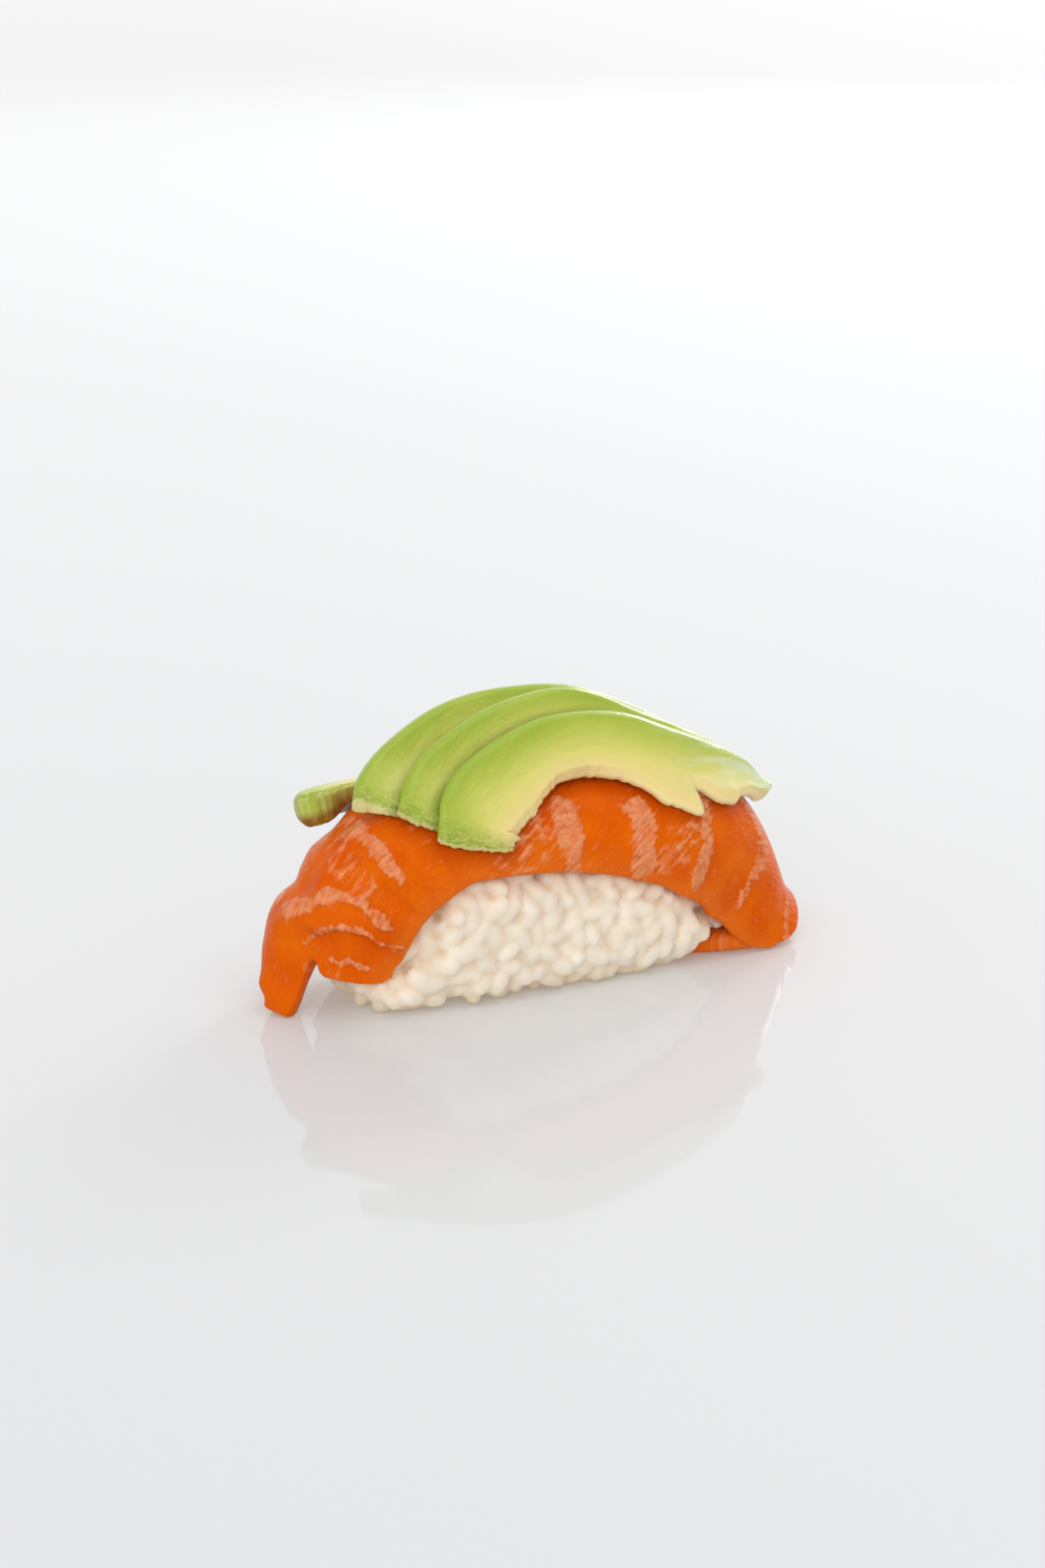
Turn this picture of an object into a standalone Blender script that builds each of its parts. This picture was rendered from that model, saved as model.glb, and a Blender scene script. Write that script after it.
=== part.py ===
"""Salmon nigiri with a fan of avocado slices.

A pressed log of rice lies along X. A slab of raw salmon is draped over it and hangs past both ends:
on the left a narrow strip of it reaches down to the ground, and on the right its end stands on the
ground, with a tongue of it tucked in under the rice. Four slices of avocado lean back over one another
along the top. The origin is on the ground, under the middle of the whole.

Sizes are in millimetres and angles in degrees until the meshes are made, in metres.
"""

import math

import bpy
import numpy as np
from mathutils import Vector, noise
from mathutils.bvhtree import BVHTree

METRES_PER_MM = 0.001
GAP = 0.4  # between pieces that touch
MIDDLE_X, MIDDLE_Y = 0.807, -0.288  # of the whole, taken off every point so that the origin lies under it

# The salmon's ridge, the highest line of its top side. It runs level, then droops at both ends.
RIDGE_X, RIDGE_HEIGHT = -3.0, 33.5
LEFT_BEND_START, LEFT_BEND_LENGTH, LEFT_DROOP = 8.5, 45.0, 72.0
RIGHT_BEND_START, RIGHT_BEND_LENGTH, RIGHT_DROOP = 16.0, 42.0, 68.0
RIGHT_HANG = 0.7  # how far the slab's sides follow the right droop, as a share of it
RIDGE_STEP = 0.25

# The slab, at stations along the ridge: how tightly it rolls over the rice, and its width to each side.
ROLL_RADIUS = ((-55, 13.0), (-20, 15.0), (18, 15.0), (66, 11.5))
ROLL_LIMIT = 88.0  # past this angle the slab hangs straight
FRONT_WIDTH = (
    (-58, 22.5), (-48, 24.0), (-36, 24.5), (-20, 22.5), (0, 22.5),
    (22, 26.0), (36, 28.0), (46, 27.5), (56, 24.0), (70, 20.0),
)
BACK_WIDTH = ((-54, 17.0), (-20, 17.0), (10, 17.0), (36, 20.0), (70, 16.0))
SALMON_THICKNESS = 5.5
LONG_EDGE_THICKNESS, LONG_EDGE_TAPER = 2.2, 11.0  # the slab thins towards its front and back edges
CUT_ROUNDING = 1.0

# The slab's ends, as distances along the ridge. A strip of the left end, and all of the right end,
# go on down to the ground.
LEFT_END, RIGHT_END = -54.0, 68.0
LEFT_EASE, RIGHT_EASE = 26.0, 34.0
STRIP_MIDDLE, STRIP_WIDTH, STRIP_FLARE = -4.0, 7.5, 2.0
CORNER_CUT, CORNER_CUT_START, CORNER_CUT_WIDTH = 3.5, 6.0, 16.0  # off the left end, towards the front
GROUND_CLEARANCE = 0.1

# The tongue of salmon under the right end of the rice.
TONGUE_CENTRE, TONGUE_SIZE, TONGUE_YAW = (33.8, -4.8, 1.7), (16.5, 14.0, 3.2), -16.0

# The rice log, its axis and the bumps that its grains make.
RICE_LEFT, RICE_RIGHT = -33.8, 34.5
RICE_HALF_WIDTH, RICE_AXIS_HEIGHT, RICE_HEIGHT, RICE_SINK = 14.8, 9.5, 28.0, 1.8
UNDERCUT, UNDERCUT_START, UNDERCUT_LENGTH = 0.4, 14.0, 16.0  # of its right end, above the tongue
RICE_END_POWER, RICE_SIDE_POWER = 0.36, 0.72  # the lower, the squarer
GRAIN_BUMP, GRAIN_SIZE = 0.9, 4.5

# The avocado slices. Each is a band between its rim and its inner edge, which are curves through eight
# points from its left end to its right end. The three that lean have the same steps across the band.
SLICE_THICKNESS, THINNEST_SLICE = 3.6, 1.6
SLICE_ROUNDING = 1.2
HIDDEN_BAND = 0.85  # the band of a slice that another covers, as a share of the front one's
RIM_TO_INNER = (
    (11.7, -2.1, -2.3), (11.1, -4.0, -5.5), (9.4, -4.7, -8.4), (2.4, -5.0, -8.7),
    (-3.8, -5.3, -8.6), (-5.4, -6.2, -8.9), (-4.2, -5.5, -5.4), (-3.2, -2.4, -0.4),
)
FRONT_SLICE = "avocado_slice_1"
LEANING_RIMS = {
    "avocado_slice_3": (
        (-33.6, -5.5, 34.3), (-31.2, -2.3, 37.0), (-24.2, 1.5, 41.0), (-13.0, 5.0, 44.6),
        (-0.9, 6.5, 45.3), (12.2, 6.0, 43.2), (26.4, 5.0, 36.0), (42.0, 4.0, 26.6),
    ),
    "avocado_slice_2": (
        (-28.0, -11.0, 32.1), (-26.6, -8.0, 35.7), (-20.1, -4.0, 39.8), (-6.6, -0.5, 44.4),
        (8.0, 1.0, 45.4), (21.3, 1.0, 39.7), (34.0, 0.8, 33.0), (43.6, 0.5, 25.9),
    ),
    FRONT_SLICE: (
        (-23.8, -15.2, 28.1), (-21.5, -11.8, 34.0), (-14.9, -8.5, 38.7), (-0.7, -5.5, 41.9),
        (13.8, -4.2, 41.6), (24.8, -3.8, 37.4), (34.1, -3.5, 32.2), (44.5, -3.6, 25.3),
    ),
}
FLAT_SLICE = "avocado_slice_4"
FLAT_RIM = (
    (-36.6, 8.0, 30.8), (-35.4, 12.5, 30.4), (-30.5, 15.5, 30.2), (-21.0, 16.5, 30.8),
    (-8.0, 15.5, 36.0), (6.0, 14.0, 38.0), (19.0, 12.0, 35.5), (33.0, 9.5, 29.5),
)
FLAT_INNER = (
    (-24.5, 4.5, 33.4), (-23.5, 6.0, 33.6), (-19.0, 6.0, 33.9), (-13.0, 5.5, 34.4),
    (-5.0, 5.0, 34.8), (5.0, 4.5, 34.8), (16.0, 4.5, 33.8), (28.0, 5.0, 30.0),
)

# Mesh fineness, in faces along and across.
SLAB_GRID, SLICE_GRID, RICE_GRID = (43, 24), (24, 7), (38, 30)
FINER = 3  # how much finer the gaps between the pieces are measured

# name: base colour, roughness
LOOKS = {"rice": ((0.82, 0.76, 0.66), 0.4), "salmon": ((0.78, 0.17, 0.02), 0.3), "avocado": ((0.48, 0.55, 0.13), 0.35)}


def smoothstep(x):
    x = np.clip(x, 0.0, 1.0)
    return x * x * (3.0 - 2.0 * x)


def curve_through(points, t):
    """Points of a smooth curve through evenly timed points, for shares t of its length."""
    points = np.array(points, float)
    slopes = np.gradient(points, axis=0)
    place = np.clip(t, 0.0, 1.0) * (len(points) - 1)
    i = np.minimum(place.astype(int), len(points) - 2)
    f = (place - i)[..., None]
    from_here = points[i] * (1 + 2 * f) * (1 - f) ** 2 + slopes[i] * f * (1 - f) ** 2
    to_next = points[i + 1] * f * f * (3 - 2 * f) - slopes[i + 1] * f * f * (1 - f)
    return from_here + to_next


def at_stations(stations, s):
    """A value that runs smoothly, without overshoot, through (place, value) stations."""
    places, values = np.array(stations, float).T
    width = np.diff(places)
    rise = np.diff(values) / width
    slopes = np.zeros(len(places))
    same_way = rise[1:] * rise[:-1] > 0
    mean = 2 * rise[1:] * rise[:-1] / np.where(same_way, rise[1:] + rise[:-1], 1.0)
    slopes[1:-1] = np.where(same_way, mean, 0.0)
    s = np.clip(s, places[0], places[-1])
    i = np.clip(np.searchsorted(places, s, side="right") - 1, 0, len(places) - 2)
    f = (s - places[i]) / width[i]
    from_here = values[i] * (1 + 2 * f) * (1 - f) ** 2 + slopes[i] * width[i] * f * (1 - f) ** 2
    to_next = values[i + 1] * f * f * (3 - 2 * f) - slopes[i + 1] * width[i] * f * f * (1 - f)
    return from_here + to_next


def crowded(count, peaks=1, share=0.6):
    """Shares from 0 to 1, closer together at both ends and, with more peaks, evenly between them."""
    t = np.linspace(0.0, 1.0, count + 1)
    return t - share * np.sin(2 * np.pi * peaks * t) / (2 * np.pi * peaks)


def rounded(depth, radius):
    """How full a slab is at a depth inside its outline, from 0 on the outline to 1."""
    power = 2.2
    depth = np.clip(depth / radius, 0.0, 1.0)
    return (1.0 - (1.0 - depth) ** power) ** (1.0 / power)


def unit(vectors):
    return vectors / np.maximum(np.linalg.norm(vectors, axis=-1, keepdims=True), 1e-9)


def ridge_line():
    """Distance along the ridge, and there its x, its z and its slope."""
    s = np.arange(-90.0, 100.0, RIDGE_STEP)
    left = LEFT_DROOP * smoothstep((-s - LEFT_BEND_START) / LEFT_BEND_LENGTH)
    right = RIGHT_DROOP * smoothstep((s - RIGHT_BEND_START) / RIGHT_BEND_LENGTH)
    slope = np.radians(right - left)
    x = np.cumsum(np.cos(slope)) * RIDGE_STEP
    z = -np.cumsum(np.sin(slope)) * RIDGE_STEP
    middle = np.argmin(abs(s))
    return s, x - x[middle] + RIDGE_X, z - z[middle] + RIDGE_HEIGHT, slope


RIDGE = ridge_line()


def slab_top(s, v):
    """The slab's top side, at s along the ridge and v across it, front to back."""
    x, z, slope = (np.interp(s, RIDGE[0], line) for line in RIDGE[1:])
    slope = np.minimum(slope, slope * RIGHT_HANG)
    radius = at_stations(ROLL_RADIUS, s)
    limit = math.radians(ROLL_LIMIT)
    roll = np.clip(v / radius, -limit, limit)
    straight = abs(v) - abs(roll) * radius
    across = radius * np.sin(roll) + straight * np.cos(roll) * np.sign(v)
    inwards = radius * (1.0 - np.cos(roll)) + straight * np.sin(abs(roll))
    return np.stack([x - inwards * np.sin(slope), across, z - inwards * np.cos(slope)], -1)


def slab_normal(s, v):
    step = 0.05
    here = slab_top(s, v)
    return unit(np.cross(slab_top(s + step, v) - here, slab_top(s, v + step) - here))


def ground_reach(v, side):
    """How far along the ridge the slab meets the ground, at v across it, on side -1 or 1."""
    s = side * np.arange(40.0, 90.0, 0.25)
    s, v = np.meshgrid(s, v, indexing="ij")
    top = slab_top(s, v)
    under = top - SALMON_THICKNESS * slab_normal(s, v)
    lowest = np.minimum(top, under)[..., 2]
    down = np.minimum.accumulate(lowest, axis=0)
    return np.array([np.interp(-GROUND_CLEARANCE, -down[:, j], s[:, j]) for j in range(s.shape[1])])


def slab_outline(a, b):
    """For shares a and b of the slab's length and width: s and v, the depth inside its outline, and
    the depth inside its long edges."""
    nominal = LEFT_END + (RIGHT_END - LEFT_END) * a
    front = at_stations(FRONT_WIDTH, nominal)
    back = at_stations(BACK_WIDTH, nominal)
    v = (front + back) * b - front
    away = abs(v[0] - STRIP_MIDDLE) - STRIP_WIDTH / 2
    strip = smoothstep(0.5 - away / STRIP_FLARE)
    left = LEFT_END + CORNER_CUT * smoothstep((-v[0] - CORNER_CUT_START) / CORNER_CUT_WIDTH)
    left += (ground_reach(v[0], -1) - left) * strip
    right = ground_reach(v[-1], 1)
    near_left = smoothstep(1.0 - (nominal - LEFT_END) / LEFT_EASE)
    near_right = smoothstep(1.0 - (RIGHT_END - nominal) / RIGHT_EASE)
    s = nominal + (left - LEFT_END) * near_left + (right - RIGHT_END) * near_right
    beside = np.minimum(v + front, back - v)
    depth = np.minimum(np.minimum(s - left, right - s), beside)
    return s, v, depth, beside


def slab_sides(along, across):
    """The slab's top and bottom sides as two grids of points."""
    a, b = np.meshgrid(crowded(along), crowded(across, peaks=2), indexing="ij")
    s, v, depth, beside = slab_outline(a, b)
    thinner = 1.0 - smoothstep(beside / LONG_EDGE_TAPER)
    thickness = SALMON_THICKNESS - (SALMON_THICKNESS - LONG_EDGE_THICKNESS) * thinner
    normal = slab_normal(s, v)
    middle = slab_top(s, v) - normal * (thickness / 2)[..., None]
    reach = normal * (rounded(depth, CUT_ROUNDING) * thickness / 2)[..., None]
    return middle + reach, middle - reach


def add_object(name, points, faces, look):
    mesh = bpy.data.meshes.new(name)
    points = (np.asarray(points) - (MIDDLE_X, MIDDLE_Y, 0.0)) * METRES_PER_MM
    mesh.from_pydata(points.tolist(), [], faces)
    mesh.shade_smooth()
    mesh.materials.append(bpy.data.materials[look])
    obj = bpy.data.objects.new(name, mesh)
    bpy.context.scene.collection.objects.link(obj)
    return obj


def add_shell(name, upper, lower, look):
    """A closed object between two grids of points, which share the points of their border."""
    rows, columns = upper.shape[:2]
    above = np.arange(rows * columns).reshape(rows, columns)
    below = above.copy()
    below[1:-1, 1:-1] = above.size + np.arange((rows - 2) * (columns - 2)).reshape(rows - 2, -1)
    points = np.concatenate([upper.reshape(-1, 3), lower[1:-1, 1:-1].reshape(-1, 3)])
    faces = []
    for grid, turn in ((above, 1), (below, -1)):
        corners = (grid[:-1, :-1], grid[1:, :-1], grid[1:, 1:], grid[:-1, 1:])
        faces.extend(np.stack(corners[::turn], -1).reshape(-1, 4).tolist())
    return add_object(name, points, faces, look)


def tree_of(obj):
    """The object's surface, in the millimetres that the shapes are worked out in."""
    middle = Vector((MIDDLE_X, MIDDLE_Y, 0.0))
    points = [vertex.co / METRES_PER_MM + middle for vertex in obj.data.vertices]
    return BVHTree.FromPolygons(points, [tuple(face.vertices) for face in obj.data.polygons])


def superellipse(angle, power):
    """A point of the unit superellipse at an angle. The lower the power, the squarer it is."""
    c, s = math.cos(angle), math.sin(angle)
    return math.copysign(abs(c) ** power, c), math.copysign(abs(s) ** power, s)


def add_tube(name, rings, look):
    """A closed object through rings of points, with its first and last ring filled."""
    count = len(rings[0])
    points = [point for ring in rings for point in ring]
    faces = [tuple(reversed(range(count))), tuple(range(len(points) - count, len(points)))]
    for i in range(0, len(points) - count, count):
        for j in range(count):
            after = (j + 1) % count
            faces.append((i + j, i + after, i + count + after, i + count + j))
    return add_object(name, points, faces, look)


def add_tongue():
    """A pad that lies on the ground, as wide as it is long and thin, with round edges."""
    length, width, height = TONGUE_SIZE
    yaw = math.radians(TONGUE_YAW)
    rings = []
    for i in range(1, 12):
        along, size = superellipse(math.pi * (i / 12 - 1), 0.6)
        ring = []
        for j in range(20):
            side, rise = superellipse(2 * math.pi * j / 20, 0.7)
            x = along * length / 2
            y = side * abs(size) * width / 2
            z = rise * min(1.0, 1.6 * abs(size)) * height / 2
            turned = Vector((x * math.cos(yaw) - y * math.sin(yaw), x * math.sin(yaw) + y * math.cos(yaw), z))
            ring.append(turned + Vector(TONGUE_CENTRE))
        rings.append(ring)
    return add_tube("tongue", rings, "salmon")


def make_salmon():
    """The slab joined with its tongue, and what the rice must stay clear of."""
    slab = add_shell("salmon", *slab_sides(*SLAB_GRID), "salmon")
    tongue = add_tongue()
    obstacles = [tree_of(slab), tree_of(tongue)]
    join = slab.modifiers.new("tongue", "BOOLEAN")
    join.operation = "UNION"
    join.object = tongue
    tongue.hide_render = True
    tongue.display_type = "WIRE"
    return slab, obstacles


def clear_reach(trees, origin, direction, reach):
    """The reach, or less where something stands in the way."""
    for tree in trees:
        distance = tree.ray_cast(origin, direction, reach + GAP)[3]
        if distance is not None:
            reach = min(reach, distance - GAP)
    return reach


def over_neighbours(blend, field, across_mode="edge"):
    """The field with each value blended with those within one coarse cell of it."""
    wide = np.pad(field, ((FINER, FINER), (0, 0)), mode="edge")
    wide = np.pad(wide, ((0, 0), (FINER, FINER)), mode=across_mode)
    rows, columns = field.shape
    steps = range(2 * FINER + 1)
    return blend([wide[i : i + rows, j : j + columns] for i in steps for j in steps], axis=0)


def make_rice(obstacles):
    """A log with grain-sized bumps, pressed up against the underside of the salmon."""
    along, around = RICE_GRID[0] * FINER, RICE_GRID[1] * FINER
    middle, half = (RICE_LEFT + RICE_RIGHT) / 2, (RICE_RIGHT - RICE_LEFT) / 2
    axes, ways = [], []
    for i in range(FINER, along - FINER + 1):
        share, size = superellipse(math.pi * (i / along - 1), RICE_END_POWER)
        axis = Vector((middle + half * share * 0.95, 0.0, RICE_AXIS_HEIGHT))
        undercut = UNDERCUT * float(smoothstep((axis.x - UNDERCUT_START) / UNDERCUT_LENGTH))
        below = (RICE_AXIS_HEIGHT + RICE_SINK) * (1.0 - undercut)
        for j in range(around):
            side, rise = superellipse(2 * math.pi * j / around, RICE_SIDE_POWER)
            height = RICE_HEIGHT - RICE_AXIS_HEIGHT if rise > 0 else below
            wide, tall = side * abs(size) * RICE_HALF_WIDTH, rise * abs(size) * height
            axes.append(axis)
            ways.append(Vector((half * share * 0.05, wide, tall)))
    bumpy, clear = [], []
    for axis, way in zip(axes, ways):
        bumpy.append(way.length + GRAIN_BUMP * noise.noise((axis + way) / GRAIN_SIZE))
        clear.append(clear_reach(obstacles, axis, way.normalized(), RICE_HEIGHT))
    clear = over_neighbours(np.min, np.reshape(clear, (-1, around)), across_mode="wrap")
    reach = np.minimum(np.array(bumpy), clear.ravel())
    points = np.array(axes) + unit(np.array(ways)) * reach[:, None]
    points[:, 2] = np.maximum(points[:, 2], 0.0)
    return add_tube("rice", points.reshape(-1, around, 3)[::FINER, ::FINER], "rice")


def room_behind(face, normal, trees):
    """The distance behind each point of a slice's face to what lies there."""
    start = 14.0
    full = SLICE_THICKNESS + GAP
    room = np.zeros(face.shape[:2])
    for index in np.ndindex(room.shape):
        origin = Vector(face[index] + start * normal[index])
        room[index] = clear_reach(trees, origin, Vector(-normal[index]), start + full) + GAP - start
    return np.minimum(room, full)


def make_slice(name, rim, inner, trees):
    """A slice whose back rests on what is behind it, where it is thinner if there is little room."""
    along, across = (crowded(count * FINER) for count in SLICE_GRID)
    t, w = np.meshgrid(along, across, indexing="ij")
    outer, within = curve_through(rim, t), curve_through(inner, t)
    face = within + (outer - within) * w[..., None]
    normal = unit(np.cross(np.gradient(face, axis=0), np.gradient(face, axis=1)))
    lift = np.maximum(THINNEST_SLICE + GAP - room_behind(face, normal, trees), 0.0)
    lift = over_neighbours(np.mean, over_neighbours(np.max, lift))
    face = face + normal * lift[..., None]
    room = over_neighbours(np.mean, over_neighbours(np.min, room_behind(face, normal, trees)))
    thickness = np.maximum(room - GAP, THINNEST_SLICE)
    length = np.linalg.norm(np.diff(outer[:, 0], axis=0), axis=-1).sum()
    width = np.linalg.norm(within - outer, axis=-1)
    depth = np.minimum(np.minimum(t, 1 - t) * length, np.minimum(w, 1 - w) * width)
    middle = face - normal * (thickness / 2)[..., None]
    reach = normal * (rounded(depth, SLICE_ROUNDING) * thickness / 2)[..., None]
    sides = ((middle + reach)[::FINER, ::FINER], (middle - reach)[::FINER, ::FINER])
    return add_shell(name, *sides, "avocado")


def make_materials():
    for name, (colour, roughness) in LOOKS.items():
        material = bpy.data.materials.new(name)
        material.use_nodes = True
        shader = material.node_tree.nodes["Principled BSDF"]
        shader.inputs["Base Color"].default_value = (*colour, 1.0)
        shader.inputs["Roughness"].default_value = roughness


def main():
    for obj in list(bpy.data.objects):
        bpy.data.objects.remove(obj)
    make_materials()
    salmon, obstacles = make_salmon()
    make_rice(obstacles)
    trees = [tree_of(salmon)]
    trees.append(tree_of(make_slice(FLAT_SLICE, FLAT_RIM, FLAT_INNER, trees)))
    for name, rim in LEANING_RIMS.items():
        band = 1.0 if name == FRONT_SLICE else HIDDEN_BAND
        inner = np.array(rim) + band * np.array(RIM_TO_INNER)
        trees.append(tree_of(make_slice(name, rim, inner, trees)))


main()
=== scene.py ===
"""The looks of the salmon nigiri.

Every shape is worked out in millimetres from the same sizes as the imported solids, and made in metres.
The slab of salmon is described by s, the distance along its ridge, and v, the distance across it from
the ridge, front negative. A slice of avocado is described by its share t from left to right and its
share w from its inner edge to its rim.
"""

import math

import bpy
import numpy as np
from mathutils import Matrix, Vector, noise
from mathutils.bvhtree import BVHTree


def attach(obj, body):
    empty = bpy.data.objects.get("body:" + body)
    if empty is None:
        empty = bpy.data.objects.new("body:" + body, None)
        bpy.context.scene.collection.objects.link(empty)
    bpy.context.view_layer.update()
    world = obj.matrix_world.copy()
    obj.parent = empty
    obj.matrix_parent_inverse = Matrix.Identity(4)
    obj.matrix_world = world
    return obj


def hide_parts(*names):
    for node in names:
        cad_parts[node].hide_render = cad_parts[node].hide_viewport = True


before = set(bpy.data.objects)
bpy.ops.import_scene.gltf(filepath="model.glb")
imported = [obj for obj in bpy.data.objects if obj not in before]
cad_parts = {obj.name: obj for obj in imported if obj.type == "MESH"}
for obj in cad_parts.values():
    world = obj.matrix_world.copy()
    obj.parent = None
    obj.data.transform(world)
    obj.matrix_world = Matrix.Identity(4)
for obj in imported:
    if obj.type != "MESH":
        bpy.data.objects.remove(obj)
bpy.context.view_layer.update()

METRES_PER_MM = 0.001
GAP = 0.3  # between pieces that touch
MIDDLE = np.array((0.807, -0.288, 0.0))  # of the whole, taken off every point
SEED = 11

# The salmon's ridge.
RIDGE_X, RIDGE_HEIGHT = -3.0, 33.5
LEFT_BEND_START, LEFT_BEND_LENGTH, LEFT_DROOP = 8.5, 45.0, 72.0
RIGHT_BEND_START, RIGHT_BEND_LENGTH, RIGHT_DROOP = 16.0, 42.0, 68.0
RIGHT_HANG = 0.7
RIDGE_STEP = 0.25

# The slab, at stations along the ridge.
ROLL_RADIUS = ((-55, 13.0), (-20, 15.0), (18, 15.0), (66, 11.5))
ROLL_LIMIT = 88.0
FRONT_WIDTH = (
    (-53, 22.0), (-48, 23.0), (-34, 23.2), (-24, 22.8), (-13, 21.2), (0, 21.8), (10, 23.8),
    (18, 26.4), (27, 29.0), (41, 28.4), (53.4, 25.0), (59.3, 23.2), (62.9, 21.4), (66.5, 18.2), (68, 16.0),
)
BACK_WIDTH = ((-54, 17.0), (-20, 17.0), (10, 17.0), (36, 20.0), (70, 16.0))
SALMON_THICKNESS = 5.5
LONG_EDGE_THICKNESS, LONG_EDGE_TAPER = 2.2, 11.0
CUT_ROUNDING = 0.9
STRIP_ROUNDING, STRIP_FROM, STRIP_FULL = 1.4, -52.5, -57.0  # how much rounder the strip that hangs down is
LEFT_END, RIGHT_END = -54.0, 68.0
LEFT_EASE, RIGHT_EASE = 8.0, 34.0
# Where the left end lies at each v: a flap in front, a notch, the strip that hangs to the ground.
LEFT_OUTLINE = (
    (-24, -50.2), (-22.3, -51.3), (-20.5, -52.8), (-16, -53.8), (-10.6, -54.3), (-9.4, -53.9),
    (-8.5, -52.9), (-7.4, -52.4), (-6.7, -53.2), (-6.4, -55.5), (-6.1, -58.0), (-5.7, -60.5), (-5.0, -62.6),
    (-4.2, -65.5), (-0.4, -65.5), (0.1, -63.6), (0.6, -61.2), (2.6, -59.4), (4.0, -57.2),
    (5.4, -54.8), (7.0, -54.0), (20, -54.0),
)
GROUND_CLEARANCE = 0.1
GROUND_SHARE = {-1: 0.6, 1: 1.0}  # how much of the slab's end lies above the ground, left and right
SLAB_GRID = (300, 155)

# The upper layer of the left end is cut back, and leaves a step above the flap and the strip.
STEP_DEPTH, STEP_WIDTH = 2.1, 1.0
STEP_SPREAD, STEP_SPREAD_FROM = 4.0, -8.5  # how much wider the step gets on the strip
STEP_LINE = (
    (-21.5, -45.5), (-18.2, -46.1), (-15.8, -45.3), (-12, -45.8), (-10, -46.3),
    (-8, -47.5), (-6.8, -47.9), (-5.2, -48.3), (-2, -48.8), (4, -49.3),
)
STEP_END, STEP_FADE = 3.0, 10.0  # the step fades out towards the back, from this v

# Pale fat between the flakes, partly painted sheen and highlights where the wet flesh catches the light:
# strength, half width at the start and at the end, how proud it stands, and a line of (s, v) points.
# The wider strokes with a strength under 0.8 are fields of fine streaks.
FAT_AND_SHEEN_STROKES = (
    (1.0, 2.6, 1.3, 0.20, ((3.2, -12.3), (3.2, -16.5), (3.0, -19.5), (2.8, -22.3))),
    (0.42, 3.8, 3.4, 0.05, ((0.0, -14.5), (-3.5, -17.0), (-7.0, -19.0))),
    (1.0, 2.4, 2.0, 0.20, ((16.1, -13.8), (16.0, -18.0), (15.2, -23.6))),
    (0.5, 3.2, 2.4, 0.05, ((29.0, -14.0), (26.0, -18.5), (22.5, -21.3), (19.5, -22.8))),
    (1.0, 1.4, 1.9, 0.22, ((28.8, -11.5), (29.7, -17.5), (30.3, -21.5), (28.4, -25.4))),
    (0.9, 1.2, 1.8, 0.30, ((37.0, -7.5), (44.5, -8.6), (48.8, -10.5))),
    (0.6, 2.3, 1.1, 0.15, ((48.8, -11.0), (48.3, -15.5), (48.8, -21.5))),
    (0.6, 0.9, 0.6, 0.15, ((60.5, -8.5), (61.5, -11.5), (62.5, -13.5), (64.5, -13.3))),
    (0.6, 2.8, 2.4, 0.20, ((-30.8, 0.5), (-30.4, -4.0))),
    (0.95, 1.7, 0.8, 0.40, ((-30.0, -4.0), (-30.2, -9.0), (-31.0, -15.8))),
    (0.9, 1.2, 1.1, 0.55, (
        (-46.3, -0.6), (-45.2, -3.0), (-43.5, -5.2), (-40.7, -8.0), (-39.6, -12.0), (-39.9, -14.5), (-41.4, -17.5))),
    (0.35, 2.8, 2.4, 0.0, ((-35.5, -5.5), (-36.5, -12.5))),
    (0.35, 2.0, 1.6, 0.0, ((-33.5, 2.5), (-38.5, 1.5))),
    (0.85, 0.5, 0.3, 0.0, ((-47.2, -7.6), (-48.6, -6.6), (-50.3, -5.2))),
    (0.95, 0.4, 0.5, 0.0, ((-51.2, -11.2), (-50.8, -14.5), (-51.0, -17.8))),
)
# The lip's pale line is a painted highlight along its rounded edge.
LIP_STRENGTH, LIP_WIDTH, LIP_SHIFT, LIP_END = 0.9, 0.6, 0.55, -6.8  # the pale lip just above the step
# How far the surface stands out from the plain drape, at stations of s.
BACK_LEFT_WAVES = (
    (-63, 0), (-61, 0), (-59.3, 0.5), (-57, 0.1), (-54, 0.3), (-50, 0.7), (-46.5, 0.2),
    (-44.2, -0.7), (-42, -1.4), (-39.5, -1.1), (-37, -0.9), (-34, -1.3), (-31, -1.3), (-27, -0.7), (-22, 0),
)
FRONT_LEFT_WAVES = ((-48, 0), (-44, 0.1), (-40.5, 0.25), (-38, -0.5), (-35, -0.6), (-32, 0.1), (-29, 0.1), (-26, 0))
FOOT_WAVES = ((60, 0), (63, 0.4), (64.8, 0.95), (66, 0.4), (66.9, -0.6), (68.3, 0.25), (70, 0))
BACK_FAT_STEP, BACK_FAT_FROM, BACK_FAT_TO = 12.5, 4.0, 18.0  # evenly spaced strokes on the unseen side
RELIEF_SIZE, RELIEF_HEIGHT = 9.0, 0.22

# The tongue of salmon under the right end of the rice.
TONGUE_CENTRE, TONGUE_SIZE, TONGUE_YAW = (31.3, -4.2, 2.2), (16.0, 13.0, 4.4), -16.0

# Rice.
GRAIN_LENGTH, GRAIN_WIDTH, GRAIN_DEPTH = 5.5, 3.1, 2.8
GRAIN_RINGS, GRAIN_SIDES = 9, 12
GRAIN_SPACING = 2.4
GRAIN_TRIES = 12000
UNDERSIDE = -0.97  # outline that faces down more than this gets no grains
CORE_DEPTH = 1.15
FUSING_STEP = 0.35  # the size of the detail at which cooked grains stick together
SALMON_LIGHT_REACH = 5.0
# How far up from the ground the rice gets painted shade.
LOW_REACH = 3.5
RAY = Vector((0.12, -0.17, 0.98))  # a ray along it leaves a solid only from inside
LOWEST_FACING = -0.15  # grains under an overhang face outwards rather than down

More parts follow.
